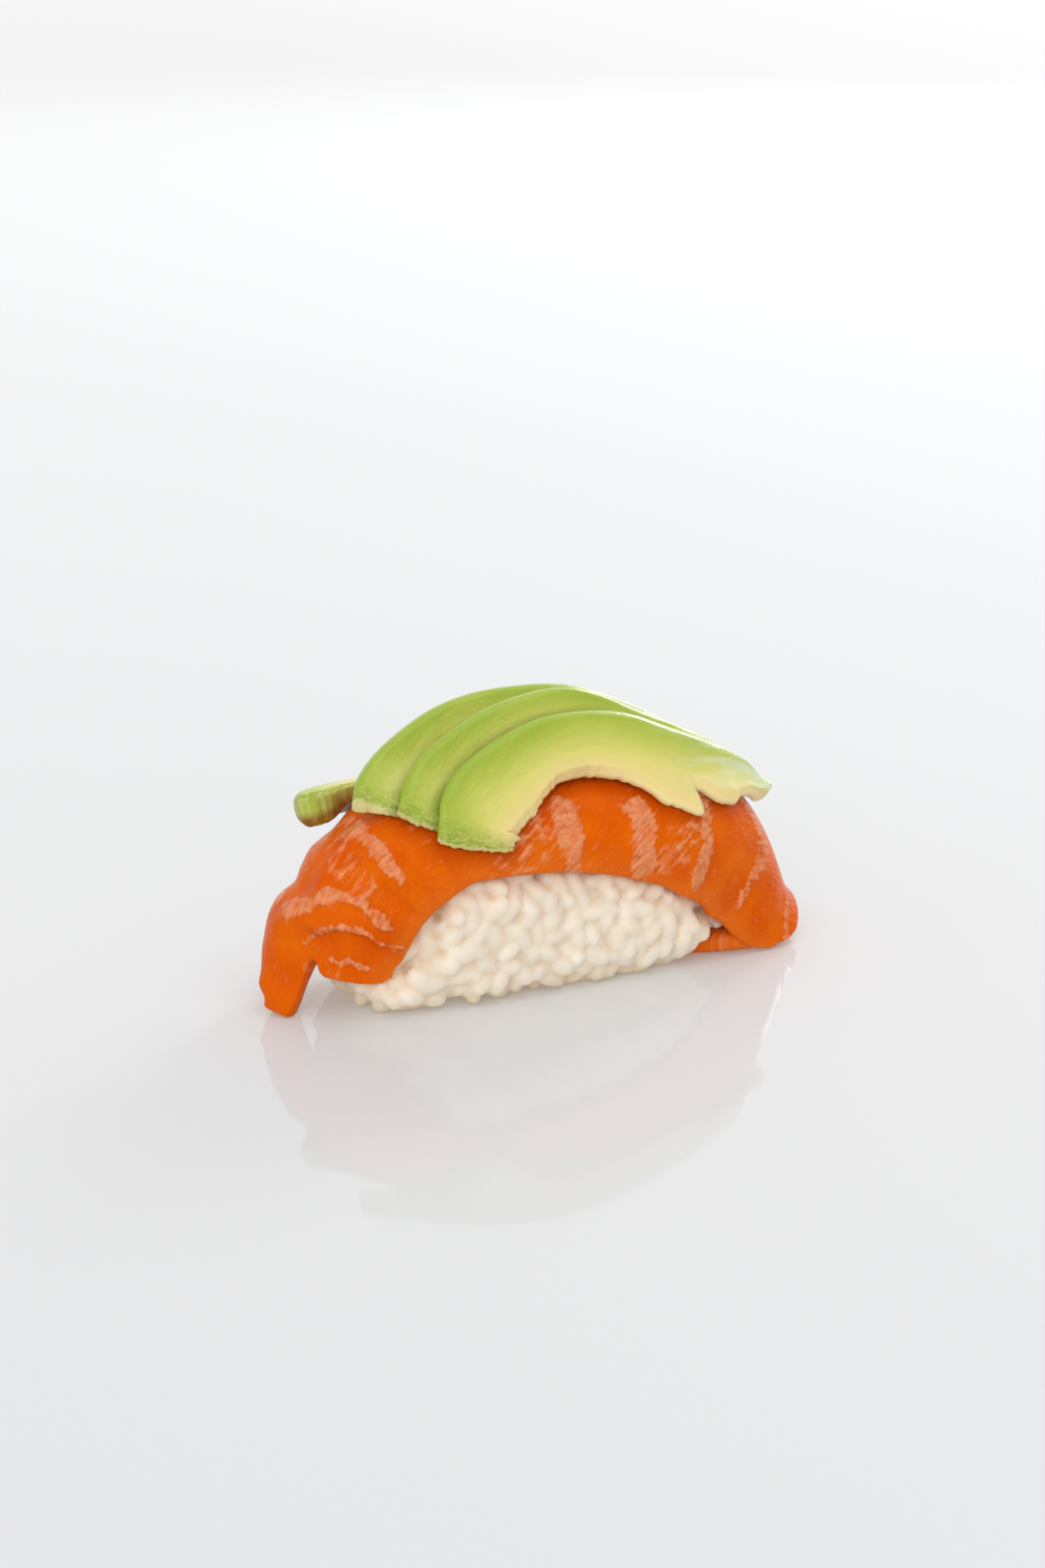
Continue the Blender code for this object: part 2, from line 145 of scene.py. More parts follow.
# Avocado.
SLICE_THICKNESS, THINNEST_SLICE = 3.6, 1.6
FLAT_SLICE_THICKNESS = 5.0
RIM_ROUNDING, INNER_ROUNDING, END_ROUNDING = 1.6, 0.5, 1.0
END_THICKNESS, END_TAPER, END_DROP = 1.0, 8.0, 3.4  # the left ends thin out and come down onto what is below
HIDDEN_BAND = 0.85
RIM_TO_INNER = (
    (11.7, -2.1, -2.3), (11.1, -4.0, -5.5), (9.4, -4.7, -8.4), (2.4, -5.0, -9.4),
    (-3.8, -5.3, -9.0), (-5.4, -6.2, -8.4), (-4.2, -5.5, -5.4), (-3.2, -2.4, -0.4),
)
FRONT_SLICE = "avocado_slice_1"
LEANING_RIMS = {
    "avocado_slice_3": (
        (-32.2, -5.3, 35.2), (-30.0, -2.3, 37.2), (-23.3, 1.5, 40.6), (-12.5, 5.0, 44.2),
        (-0.9, 6.5, 45.3), (12.2, 6.0, 44.1), (26.4, 5.0, 37.8), (42.0, 4.0, 28.2),
    ),
    "avocado_slice_2": (
        (-27.4, -10.5, 32.6), (-25.4, -7.9, 35.9), (-19.6, -4.0, 39.8), (-6.6, -0.5, 44.4),
        (8.0, 1.0, 45.4), (21.3, 1.0, 39.9), (34.0, 0.8, 33.6), (43.6, 0.5, 26.3),
    ),
    FRONT_SLICE: (
        (-22.8, -15.2, 28.1), (-21.0, -11.6, 34.1), (-14.3, -8.5, 38.9), (-0.7, -5.5, 42.9),
        (13.8, -4.2, 41.9), (24.8, -3.8, 36.9), (34.1, -3.5, 32.0), (44.3, -3.6, 25.6),
    ),
}
# How much further down the inner corner of a slice's left end lies.
END_SLANT = {
    "avocado_slice_3": (-1.2, -2.2, -0.6),
    "avocado_slice_2": (-0.8, -2.3, -2.4),
    FRONT_SLICE: (0.0, 0.0, 0.0),
}
# How far the front slice's inner edge stands out, at distances in mm from its left end: a torn hook and a lobe.
EDGE_THICKNESS, EDGE_TAPER = 1.3, 1.6
EDGE_LOBES = (
    (0, 0), (5, 0.2), (7.5, 1.0), (8.6, -0.8), (10, 0.2), (20, 0), (29, -0.5), (34, -0.6), (38, -0.2), (47, 0.4),
    (50, 0.8), (52, 1.2), (53.4, 2.6), (54.7, 2.3), (56.2, 2.9), (58.0, 4.4), (59.0, 4.4), (59.6, 0.6), (60.2, -0.3),
    (62.8, -0.3), (64.2, 1.2), (66.3, 2.2), (68.6, 2.2), (71, 1.0), (74, 0.3), (82, 0),
)
LOBE_LEAN = 1.05
FLAT_SLICE = "avocado_slice_4"
FLAT_RIM = (
    (-36.6, 8.0, 30.8), (-35.4, 12.5, 30.4), (-30.5, 15.5, 30.2), (-21.0, 16.5, 30.8),
    (-8.0, 15.5, 36.0), (6.0, 14.0, 38.0), (19.0, 12.0, 35.5), (33.0, 9.5, 29.5),
)
FLAT_INNER = (
    (-24.5, 4.5, 33.4), (-23.5, 6.0, 33.6), (-19.0, 6.0, 33.9), (-13.0, 5.5, 34.4),
    (-5.0, 5.0, 34.8), (5.0, 4.5, 34.8), (16.0, 4.5, 33.8), (28.0, 5.0, 30.0),
)
ROOM_GRID = (72, 21)  # where the room behind a slice is measured
ROOM_SPREAD = 3
SLICE_GRID = (280, 64)
# How far painted shade reaches: onto a slice beside the slice in front of it, and onto the salmon near the slices.
CREVICE_SHADE_REACH, SHADE_REACH = 2.4, 4.0

# The camera and the light.
CAMERA_AZIMUTH, CAMERA_ELEVATION, CAMERA_DISTANCE = -28.0, 16.0, 480.0
CAMERA_TARGET = (-1.2, 0.0, 30.6)
LENS, SENSOR = 70.0, 36.0
ROOM_LIGHT = 0.42
# Azimuth, elevation, the angles at which a bright patch is full and has faded out, and its strength.
SURROUNDINGS = (
    (140.0, 5.0, 15.0, 75.0, 0.90),
    (115.0, 5.0, 5.0, 45.0, 0.30),
    (-35.0, 10.0, 10.0, 75.0, 0.30),
    (-70.0, 20.0, 5.0, 70.0, 0.50),
    (0.0, 30.0, 5.0, 60.0, 0.30),
)
# Name, azimuth, elevation, distance and size in metres, and watts.
SOFTBOXES = (
    ("overhead", 60.0, 72.0, 2.4, (1.5, 1.5), 10.0),
    ("back_right", 126.0, 24.0, 2.4, (0.6, 0.4), 15.0),
    ("front_left", -40.0, 25.0, 2.5, (0.9, 0.7), 9.0),
)


# ---------------------------------------------------------------- shapes

def smoothstep(x):
    x = np.clip(x, 0.0, 1.0)
    return x * x * (3.0 - 2.0 * x)


def unit(vectors):
    return vectors / np.maximum(np.linalg.norm(vectors, axis=-1, keepdims=True), 1e-9)


def curve_through(points, t):
    """Points of a smooth curve through evenly timed points, for shares t of its length."""
    points = np.array(points, float)
    slopes = np.gradient(points, axis=0)
    place = np.clip(t, 0.0, 1.0) * (len(points) - 1)
    i = np.minimum(place.astype(int), len(points) - 2)
    f = (place - i)[..., None]
    from_here = points[i] * (1 + 2 * f) * (1 - f) ** 2 + slopes[i] * f * (1 - f) ** 2
    to_next = points[i + 1] * f * f * (3 - 2 * f) - slopes[i + 1] * f * f * (1 - f)
    return from_here + to_next


def at_stations(stations, s):
    """A value that runs smoothly, without overshoot, through (place, value) stations."""
    places, values = np.array(stations, float).T
    width = np.diff(places)
    rise = np.diff(values) / width
    slopes = np.zeros(len(places))
    same_way = rise[1:] * rise[:-1] > 0
    mean = 2 * rise[1:] * rise[:-1] / np.where(same_way, rise[1:] + rise[:-1], 1.0)
    slopes[1:-1] = np.where(same_way, mean, 0.0)
    s = np.clip(s, places[0], places[-1])
    i = np.clip(np.searchsorted(places, s, side="right") - 1, 0, len(places) - 2)
    f = (s - places[i]) / width[i]
    from_here = values[i] * (1 + 2 * f) * (1 - f) ** 2 + slopes[i] * width[i] * f * (1 - f) ** 2
    to_next = values[i + 1] * f * f * (3 - 2 * f) - slopes[i + 1] * width[i] * f * f * (1 - f)
    return from_here + to_next


def crowded(count, peaks=1, share=0.6):
    """Shares from 0 to 1, closer together at both ends and, with more peaks, evenly between them."""
    t = np.linspace(0.0, 1.0, count + 1)
    return t - share * np.sin(2 * np.pi * peaks * t) / (2 * np.pi * peaks)


def rounded(depth, radius):
    """How full a slab is at a depth inside its outline, from 0 on the outline to 1."""
    power = 2.2
    depth = np.clip(depth / radius, 0.0, 1.0)
    return (1.0 - (1.0 - depth) ** power) ** (1.0 / power)


def superellipse(angle, power):
    """A point of the unit superellipse at an angle. The lower the power, the squarer it is."""
    c, s = np.cos(angle), np.sin(angle)
    return np.sign(c) * abs(c) ** power, np.sign(s) * abs(s) ** power


def noise_at(size, seed, *coordinates):
    """Smooth noise from about -1 to 1 at one to three coordinates in mm, with features of that size."""
    shape = np.shape(coordinates[0])
    columns = [np.ravel(c) / size for c in coordinates]
    while len(columns) < 3:
        columns.append(np.full(columns[0].shape, 0.37 + 1.7 * seed))
    shift = 13.1 * (seed + 1)
    values = [noise.noise((x + shift, y - shift, z)) for x, y, z in zip(*columns)]
    return np.reshape(values, shape)


def distance_to_line(points, x, y):
    """The distance from each (x, y) to a line through points, and the share of the line that is passed."""
    best, share = np.full(np.shape(x), 1e9), np.zeros(np.shape(x))
    count = len(points) - 1
    for i, (start, end) in enumerate(zip(points, points[1:])):
        start, way = np.array(start, float), np.subtract(end, start)
        f = np.clip(((x - start[0]) * way[0] + (y - start[1]) * way[1]) / (way @ way), 0.0, 1.0)
        d = np.hypot(x - start[0] - f * way[0], y - start[1] - f * way[1])
        share = np.where(d < best, (i + f) / count, share)
        best = np.minimum(best, d)
    return best, share


# ---------------------------------------------------------------- meshes

def add_mesh(name, points, faces, look, uv=None, fields=None):
    """A smooth mesh object from points in mm, faces of equal length, a UV for each point, and named
    numbers for each point."""
    points = (np.asarray(points, float) - MIDDLE) * METRES_PER_MM
    faces = np.asarray(faces)
    count, sides = faces.shape
    mesh = bpy.data.meshes.new(name)
    mesh.vertices.add(len(points))
    mesh.vertices.foreach_set("co", points.astype(np.float32).ravel())
    mesh.loops.add(count * sides)
    mesh.loops.foreach_set("vertex_index", faces.astype(np.int32).ravel())
    mesh.polygons.add(count)
    mesh.polygons.foreach_set("loop_start", np.arange(0, count * sides, sides, dtype=np.int32))
    mesh.update(calc_edges=True)
    mesh.validate()
    mesh.shade_smooth()
    if uv is not None:
        layer = mesh.uv_layers.new(name="surface")
        layer.data.foreach_set("uv", np.asarray(uv, np.float32)[faces.ravel()].ravel())
    for field, values in (fields or {}).items():
        attribute = mesh.attributes.new(field, "FLOAT", "POINT")
        attribute.data.foreach_set("value", np.asarray(values, np.float32).ravel())
    mesh.materials.append(look)
    obj = bpy.data.objects.new(name, mesh)
    bpy.context.scene.collection.objects.link(obj)
    return obj


def shell_of(upper, lower):
    """The points and faces of a closed shell between two grids that share their border, and a function
    that lays a grid of values out in the order of its points."""
    rows, columns = upper.shape[:2]
    above = np.arange(rows * columns).reshape(rows, columns)
    below = above.copy()
    below[1:-1, 1:-1] = above.size + np.arange((rows - 2) * (columns - 2)).reshape(rows - 2, -1)
    faces = []
    for grid, turn in ((above, 1), (below, -1)):
        corners = (grid[:-1, :-1], grid[1:, :-1], grid[1:, 1:], grid[:-1, 1:])
        faces.append(np.stack(corners[::turn], -1).reshape(-1, 4))

    def laid_out(top, bottom=None):
        bottom = top if bottom is None else bottom
        inner = bottom[1:-1, 1:-1].reshape((-1,) + top.shape[2:])
        return np.concatenate([top.reshape((-1,) + top.shape[2:]), inner])

    return laid_out(upper, lower), np.concatenate(faces), laid_out


def tree_of(points, faces):
    return BVHTree.FromPolygons(points.tolist(), faces.tolist())


def finish_piece(obj, node):
    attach(obj, "root")
    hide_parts(node)


# ---------------------------------------------------------------- salmon

def ridge_line():
    """Distance along the ridge, and there its x, its z and its slope."""
    s = np.arange(-90.0, 100.0, RIDGE_STEP)
    left = LEFT_DROOP * smoothstep((-s - LEFT_BEND_START) / LEFT_BEND_LENGTH)
    right = RIGHT_DROOP * smoothstep((s - RIGHT_BEND_START) / RIGHT_BEND_LENGTH)
    slope = np.radians(right - left)
    x = np.cumsum(np.cos(slope)) * RIDGE_STEP
    z = -np.cumsum(np.sin(slope)) * RIDGE_STEP
    middle = np.argmin(abs(s))
    return s, x - x[middle] + RIDGE_X, z - z[middle] + RIDGE_HEIGHT, slope


RIDGE = ridge_line()


def slab_top(s, v):
    """The slab's top side, at s along the ridge and v across it."""
    x, z, slope = (np.interp(s, RIDGE[0], line) for line in RIDGE[1:])
    slope = np.minimum(slope, slope * RIGHT_HANG)
    radius = at_stations(ROLL_RADIUS, s)
    limit = math.radians(ROLL_LIMIT)
    roll = np.clip(v / radius, -limit, limit)
    straight = abs(v) - abs(roll) * radius
    across = radius * np.sin(roll) + straight * np.cos(roll) * np.sign(v)
    inwards = radius * (1.0 - np.cos(roll)) + straight * np.sin(abs(roll))
    return np.stack([x - inwards * np.sin(slope), across, z - inwards * np.cos(slope)], -1)


def slab_normal(s, v):
    step = 0.05
    here = slab_top(s, v)
    return unit(np.cross(slab_top(s + step, v) - here, slab_top(s, v + step) - here))


def ground_reach(v, side):
    """How far along the ridge the slab meets the ground, at v across it, on side -1 or 1."""
    s = side * np.arange(40.0, 90.0, 0.25)
    s, v = np.meshgrid(s, v, indexing="ij")
    top = slab_top(s, v)
    under = top - SALMON_THICKNESS * slab_normal(s, v)
    lowest = np.minimum(top, top + GROUND_SHARE[side] * (under - top))[..., 2]
    down = np.minimum.accumulate(lowest, axis=0)
    return np.array([np.interp(-GROUND_CLEARANCE, -down[:, j], s[:, j]) for j in range(s.shape[1])])


def slab_outline(a, b):
    """For shares a and b of the slab's length and width: s and v, the depth inside its outline, and
    the depth inside its long edges."""
    nominal = LEFT_END + (RIGHT_END - LEFT_END) * a
    front = at_stations(FRONT_WIDTH, nominal)
    back = at_stations(BACK_WIDTH, nominal)
    v = (front + back) * b - front
    left = np.maximum(at_stations(LEFT_OUTLINE, v[0]), ground_reach(v[0], -1))
    right = ground_reach(v[-1], 1)
    near_left = smoothstep(1.0 - (nominal - LEFT_END) / LEFT_EASE)
    near_right = smoothstep(1.0 - (RIGHT_END - nominal) / RIGHT_EASE)
    s = nominal + (left - LEFT_END) * near_left + (right - RIGHT_END) * near_right
    beside = np.minimum(v + front, back - v)
    depth = beside
    for end, across in ((left, v[0]), (right, v[-1])):
        outline = list(zip(end, across))
        depth = np.minimum(depth, distance_to_line(outline, s, v)[0])
    return s, v, depth, beside


def fat_and_sheen_amount(s, v):
    """How much pale fat, partly painted sheen and highlights, shows at each place of the slab, and how proud it stands.
    """
    wander, flutter = 0.9, 0.5
    x = s + wander * noise_at(3.0, 1, s, v) + flutter * noise_at(0.9, 11, s, v)
    y = v + wander * noise_at(3.0, 2, s, v) + flutter * noise_at(0.9, 12, s, v)
    strokes = list(FAT_AND_SHEEN_STROKES)
    for middle in np.arange(LEFT_END + 8.0, RIGHT_END, BACK_FAT_STEP):
        strokes.append((0.8, 2.0, 1.4, 0.2, ((middle, BACK_FAT_FROM), (middle - 2.0, BACK_FAT_TO))))
    amount, height = np.zeros(np.shape(s)), np.zeros(np.shape(s))
    for strength, first, last, proud, points in strokes:
        d, share = distance_to_line(points, x, y)
        half = first + (last - first) * share
        inside = smoothstep((1.35 - d / half) / 0.75)
        amount = np.maximum(amount, strength * inside)
        height = np.maximum(height, proud * smoothstep(1.3 - 0.8 * d / half))
    # Painted highlight along the lip just above the step.
    lip = at_stations(STEP_LINE, v) + LIP_SHIFT - x
    lip = LIP_STRENGTH * smoothstep(1.4 - abs(lip) / LIP_WIDTH) * smoothstep((LIP_END - v) / 2.0)
    return np.maximum(amount, lip), height


def salmon_relief(s, v, proud):
    """How far the surface stands proud of the plain drape: flakes, folds and the fat's low ridges."""
    flakes = RELIEF_HEIGHT * noise_at(RELIEF_SIZE, 3, s, 0.6 * v)
    fine = 0.05 * noise_at(2.6, 4, 0.45 * s, v)
    rough = 1.0 + 0.35 * noise_at(5.0, 8, s, v)
    back = at_stations(BACK_LEFT_WAVES, s) * smoothstep((v + 6.0) / 6.0)
    front = at_stations(FRONT_LEFT_WAVES, s + 0.8 * noise_at(6.0, 9, v)) * smoothstep((-v - 3.0) / 4.0)
    foot = at_stations(FOOT_WAVES, s + 0.6 * noise_at(5.0, 10, v))
    foot = foot * smoothstep((v + 19.0) / 6.0) * smoothstep((12.0 - v) / 6.0)
    return flakes + fine + (back + front + foot) * rough + proud


def step_inset(s, v):
    """How far the slab's outer side is cut back past the step at the left end."""
    line = at_stations(STEP_LINE, v) + 0.3 * noise_at(1.6, 5, v)
    width = STEP_WIDTH + STEP_SPREAD * smoothstep((v - STEP_SPREAD_FROM) / 5.0)
    past = smoothstep((line - s) / width + 0.5)
    return STEP_DEPTH * past * smoothstep((STEP_END - v) / STEP_FADE)


def make_salmon(look):
    """The slab, and its points and faces."""
    a, b = np.meshgrid(crowded(SLAB_GRID[0]), crowded(SLAB_GRID[1], peaks=2), indexing="ij")
    s, v, depth, beside = slab_outline(a, b)
    thinner = 1.0 - smoothstep(beside / LONG_EDGE_TAPER)
    thickness = SALMON_THICKNESS - (SALMON_THICKNESS - LONG_EDGE_THICKNESS) * thinner
    normal = slab_normal(s, v)
    fat_and_sheen, proud = fat_and_sheen_amount(s, v)
    full = rounded(depth, CUT_ROUNDING + STRIP_ROUNDING * smoothstep((s - STRIP_FROM) / (STRIP_FULL - STRIP_FROM)))
    middle = slab_top(s, v) - normal * (thickness / 2)[..., None]
    inset = np.minimum(step_inset(s, v), 0.6 * thickness)
    relief = salmon_relief(s, v, proud) * smoothstep(beside / 3.0)
    upper = middle + normal * (full * (thickness / 2 + relief - inset))[..., None]
    lower = middle - normal * (full * thickness / 2)[..., None]
    upper[..., 2] = np.maximum(upper[..., 2], GROUND_CLEARANCE)
    lower[..., 2] = np.maximum(lower[..., 2], GROUND_CLEARANCE)
    points, faces, laid_out = shell_of(upper, lower)
    uv = laid_out(np.stack([s, v], -1) / 100.0)
    fields = {
        "fat_and_sheen": laid_out(fat_and_sheen, fat_and_sheen * 0.3),
        # Painted light shining through the thin long edges: lighter, yellower flesh there.
        "edge": laid_out(1.0 - smoothstep(beside / 5.0)),
        "slant": laid_out(smoothstep((s + 22.0) / 8.0)),
    }
    obj = add_mesh("salmon_slab", points, faces, look, uv, fields)
    finish_piece(obj, "salmon")
    return obj, (points, faces)


def make_tongue(look):
    """A pad of salmon that lies on the ground under the rice."""
    length, width, height = TONGUE_SIZE
    along, around = np.meshgrid(np.linspace(-np.pi, 0, 49)[1:-1], np.linspace(0, 2 * np.pi, 81)[:-1], indexing="ij")
    x, size = superellipse(along, 0.6)
    side, rise = superellipse(around, 0.7)
    size = abs(size)
    x = x * length / 2
    y = side * size * width / 2
    bumps = 1.0 + 0.08 * noise_at(3.0, 6, x, y)
    z = rise * np.minimum(1.0, 1.6 * size) * bumps * height / 2
    yaw = math.radians(TONGUE_YAW)
    points = np.stack([x * math.cos(yaw) - y * math.sin(yaw), x * math.sin(yaw) + y * math.cos(yaw), z], -1)
    points = points + TONGUE_CENTRE
    points[..., 2] = np.maximum(points[..., 2], GROUND_CLEARANCE)
    rows, columns = x.shape
    grid = np.arange(rows * columns).reshape(rows, columns)
    turned = np.roll(grid, -1, axis=1)
    faces = np.stack([grid[:-1], turned[:-1], turned[1:], grid[1:]], -1).reshape(-1, 4)
    poles = points[[0, -1]].mean(axis=1)
    first, last = rows * columns, rows * columns + 1
    caps = [(first, turned[0, j], grid[0, j], first) for j in range(columns)]
    caps += [(last, grid[-1, j], turned[-1, j], last) for j in range(columns)]
    points = np.concatenate([points.reshape(-1, 3), poles])
    triangles = np.concatenate([faces[:, [0, 1, 2]], faces[:, [0, 2, 3]], np.array(caps)[:, :3]])
    uv = points[:, :2] / 100.0
    mottled = 0.22 + 0.2 * noise_at(4.0, 7, points[:, 0], points[:, 1])
    # The tongue takes most of the painted edge light.
    fields = {"fat_and_sheen": mottled, "edge": np.full(len(points), 0.8), "slant": np.ones(len(points))}
    obj = add_mesh("salmon_tongue", points, triangles, look, uv, fields)
    finish_piece(obj, "salmon")
    return points, triangles


# ---------------------------------------------------------------- rice

def grain_form():
    """A grain of cooked rice, half a unit long each way along x: its points and faces."""
    along = np.linspace(-np.pi, 0, GRAIN_RINGS + 2)[1:-1]
    around = np.linspace(0, 2 * np.pi, GRAIN_SIDES + 1)[:-1]
    along, around = np.meshgrid(along, around, indexing="ij")
    x, size = superellipse(along, 0.85)
    side, rise = np.cos(around), np.sin(around)
    size = abs(size) * (1.0 - 0.10 * x)
    bow = 0.10 * (1.0 - x * x)
    points = np.stack([x, side * size, rise * size + bow], -1) / 2
    grid = np.arange(along.size).reshape(along.shape)
    turned = np.roll(grid, -1, axis=1)
    quads = np.stack([grid[:-1], turned[:-1], turned[1:], grid[1:]], -1).reshape(-1, 4)
    first, last = along.size, along.size + 1
    caps = [(first, turned[0, j], grid[0, j]) for j in range(GRAIN_SIDES)]
    caps += [(last, grid[-1, j], turned[-1, j]) for j in range(GRAIN_SIDES)]
    tips = np.array([(-0.5, 0.0, 0.0), (0.5, 0.0, 0.0)])
    points = np.concatenate([points.reshape(-1, 3), tips])
    return points, np.concatenate([quads[:, [0, 1, 2]], quads[:, [0, 2, 3]], np.array(caps)])


def beside_tongue(points):
    """How far each point lies in the corner of the rice that the tongue of salmon takes up, from 0 to 1."""
    x, z = points[..., 0], points[..., 2]
    return smoothstep((x - 24.0) / 2.5) * smoothstep((4.6 - z) / 1.5)


def rice_outline():
    """The rice solid's triangles in mm, and the outward normal of each."""
    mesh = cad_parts["rice"].data
    mesh.calc_loop_triangles()
    points = np.array([vertex.co for vertex in mesh.vertices]) / METRES_PER_MM + MIDDLE
    triangles = np.array([triangle.vertices for triangle in mesh.loop_triangles])
    corners = points[triangles]
    normals = np.cross(corners[:, 1] - corners[:, 0], corners[:, 2] - corners[:, 0])
    return corners, normals


def hidden_by(trees, point, normal):
    return any(tree.ray_cast(point, normal, 7.0)[3] is not None for tree in trees)


def pokes_into(trees, points):
    """Whether one of the points lies inside, or nearly touches, a closed surface."""
    for tree in trees:
        for point in points:
            if tree.find_nearest(point)[3] < 0.15:
                return True
            normal = tree.ray_cast(point, RAY)[1]
            if normal is not None and normal.dot(RAY) > 0:
                return True
    return False


def scatter_places(rng, corners, normals, trees):
    """Places over the rice's outline, about evenly spaced, without those deep under the salmon."""
    areas = np.linalg.norm(normals, axis=1)
    normals = normals / areas[:, None]
    chosen = rng.choice(len(corners), GRAIN_TRIES, p=areas / areas.sum())
    shares = rng.dirichlet((1, 1, 1), GRAIN_TRIES)
    points = (corners[chosen] * shares[..., None]).sum(axis=1)
    places, ways, covered = [], [], []
    for point, normal in zip(points, normals[chosen]):
        if normal[2] < UNDERSIDE or beside_tongue(point) > 0.4:
            continue
        if places and np.min(np.linalg.norm(np.array(places) - point, axis=1)) < GRAIN_SPACING:
            continue
        places.append(point)
        ways.append(normal)
        covered.append(hidden_by(trees, Vector(point), Vector(normal)))
    places, ways, covered = np.array(places), np.array(ways), np.array(covered)
    open_places = places[~covered]
    near_open = [np.min(np.linalg.norm(open_places - place, axis=1)) < 6.0 for place in places]
    keep = np.array(near_open)
    return places[keep], ways[keep]


def grain_turn(rng, normal):
    """The axes of a grain that lies more or less flat against the outline."""
    any_way = unit(np.cross(normal, rng.normal(size=3)))
    tilt = rng.normal(0.0, 0.25) if rng.random() < 0.88 else rng.uniform(0.5, 1.0)
    along = unit(any_way * math.cos(tilt) + normal * math.sin(tilt))
    beside = unit(np.cross(normal, along))
    return np.array([along, beside, np.cross(along, beside)])


def make_rice(look, trees):
    """Grains over the outline of the rice, stuck to one another and to a smaller core behind them."""
    rng = np.random.default_rng(SEED)
    corners, normals = rice_outline()
    form, form_faces = grain_form()
    places, ways = scatter_places(rng, corners, normals, trees)
    points, faces = [], []
    for place, normal in zip(places, ways):
        size = np.array((GRAIN_LENGTH, GRAIN_WIDTH, GRAIN_DEPTH)) * rng.normal(1.0, (0.09, 0.07, 0.06))
        normal = unit(np.array((normal[0], normal[1], max(normal[2], LOWEST_FACING))))
        turn = grain_turn(rng, normal)
        shape = (form * size) @ turn
        covered = min(tree.find_nearest(place)[3] for tree in trees)
        outwards = rng.uniform(-0.35, 0.4) + 1.3 * smoothstep(1.0 - covered / 4.5)
        centre = place - normal * ((shape @ normal).max() - outwards)
        for _ in range(14):
            lift = max(0.0, GROUND_CLEARANCE - (shape[:, 2].min() + centre[2]))
            grain = shape + centre + (0.0, 0.0, lift)
            if not pokes_into(trees, grain[::7].tolist()):
                break
            centre, shape = centre - normal * 0.3, shape * 0.97
        else:
            continue
        faces.append(form_faces + len(points) * len(form))
        points.append(grain)
    core, core_faces = rice_core(len(points) * len(form))
    points, faces = np.concatenate(points + [core]), np.concatenate(faces + [core_faces])
    grains = fused(add_mesh("rice_grains", points, faces, look))
    points = np.empty(len(grains.data.vertices) * 3)
    grains.data.vertices.foreach_get("co", points)
    points = points.reshape(-1, 3) / METRES_PER_MM + MIDDLE
    low = smoothstep(1.0 - points[:, 2] / LOW_REACH)
    for name, values in (("hollow", hollows(grains.data, points)), ("salmon_bounce_light", salmon_bounce_light_at(points, trees)), ("low", low)):
        attribute = grains.data.attributes.new(name, "FLOAT", "POINT")
        attribute.data.foreach_set("value", values.astype(np.float32))
    finish_piece(grains, "rice")


def rice_core(first):
    """The rice behind the outer grains: the outline, drawn in. Its points are numbered from first."""
    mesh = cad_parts["rice"].data
    points = np.array([vertex.co for vertex in mesh.vertices]) / METRES_PER_MM + MIDDLE
    _, kept, index = np.unique(np.round(points, 3), axis=0, return_index=True, return_inverse=True)
    points = points[kept]
    triangles = index.ravel()[np.array([face.vertices[:] for face in mesh.polygons])]
    triangles = triangles[(triangles != np.roll(triangles, 1, axis=1)).all(axis=1)]
    corners = points[triangles]
    across = np.cross(corners[:, 1] - corners[:, 0], corners[:, 2] - corners[:, 0])
    normals = np.zeros(points.shape)
    for corner in range(3):
        np.add.at(normals, triangles[:, corner], across)
    points = points - unit(normals) * (CORE_DEPTH + 3.0 * beside_tongue(points))[:, None]
    points[:, 2] = np.maximum(points[:, 2], 0.6)
    return points, triangles + first


def fused(obj):
    """The object with its closed shells joined into one skin, and the joins softened."""
    remesh = obj.modifiers.new("fuse", "REMESH")
    remesh.mode = "VOXEL"
    remesh.voxel_size = FUSING_STEP * METRES_PER_MM
    remesh.use_smooth_shade = True
    smooth = obj.modifiers.new("soften", "SMOOTH")
    smooth.factor, smooth.iterations = 0.5, 3
    look = obj.data.materials[0]
    graph = bpy.context.evaluated_depsgraph_get()
    obj.data = bpy.data.meshes.new_from_object(obj.evaluated_get(graph))
    obj.modifiers.clear()
    obj.data.materials.clear()
    obj.data.materials.append(look)
    return obj


def hollows(mesh, points):
    """How deep each point lies between the grains: its distance below its surroundings, from 0 to 1."""
    ends = np.empty(len(mesh.edges) * 2, np.int64)
    mesh.edges.foreach_get("vertices", ends)
    ends = ends.reshape(-1, 2)
    count = np.bincount(ends.ravel(), minlength=len(points))[:, None]
    around = points.copy()
    for _ in range(14):
        total = np.zeros(points.shape)
        for axis in range(3):
            total[:, axis] += np.bincount(ends[:, 0], around[ends[:, 1], axis], len(points))
            total[:, axis] += np.bincount(ends[:, 1], around[ends[:, 0], axis], len(points))
        around = 0.5 * around + 0.5 * total / np.maximum(count, 1)
    normals = np.empty(len(points) * 3)
    mesh.vertices.foreach_get("normal", normals)
    depth = ((around - points) * normals.reshape(-1, 3)).sum(axis=1)
    return np.clip(depth / 0.35, 0.0, 1.0)


def salmon_bounce_light_at(points, trees):
    """How much painted orange light from the salmon falls on each point of the rice."""
    nearest = [min(tree.find_nearest(point)[3] for tree in trees) for point in points.tolist()]
    return smoothstep(1.0 - np.array(nearest) / SALMON_LIGHT_REACH)


# ---------------------------------------------------------------- avocado

def clear_reach(trees, origin, direction, reach):
    """The reach, or less where something stands in the way."""
    for tree in trees:
        distance = tree.ray_cast(origin, direction, reach + GAP)[3]
        if distance is not None:
            reach = min(reach, distance - GAP)
    return reach


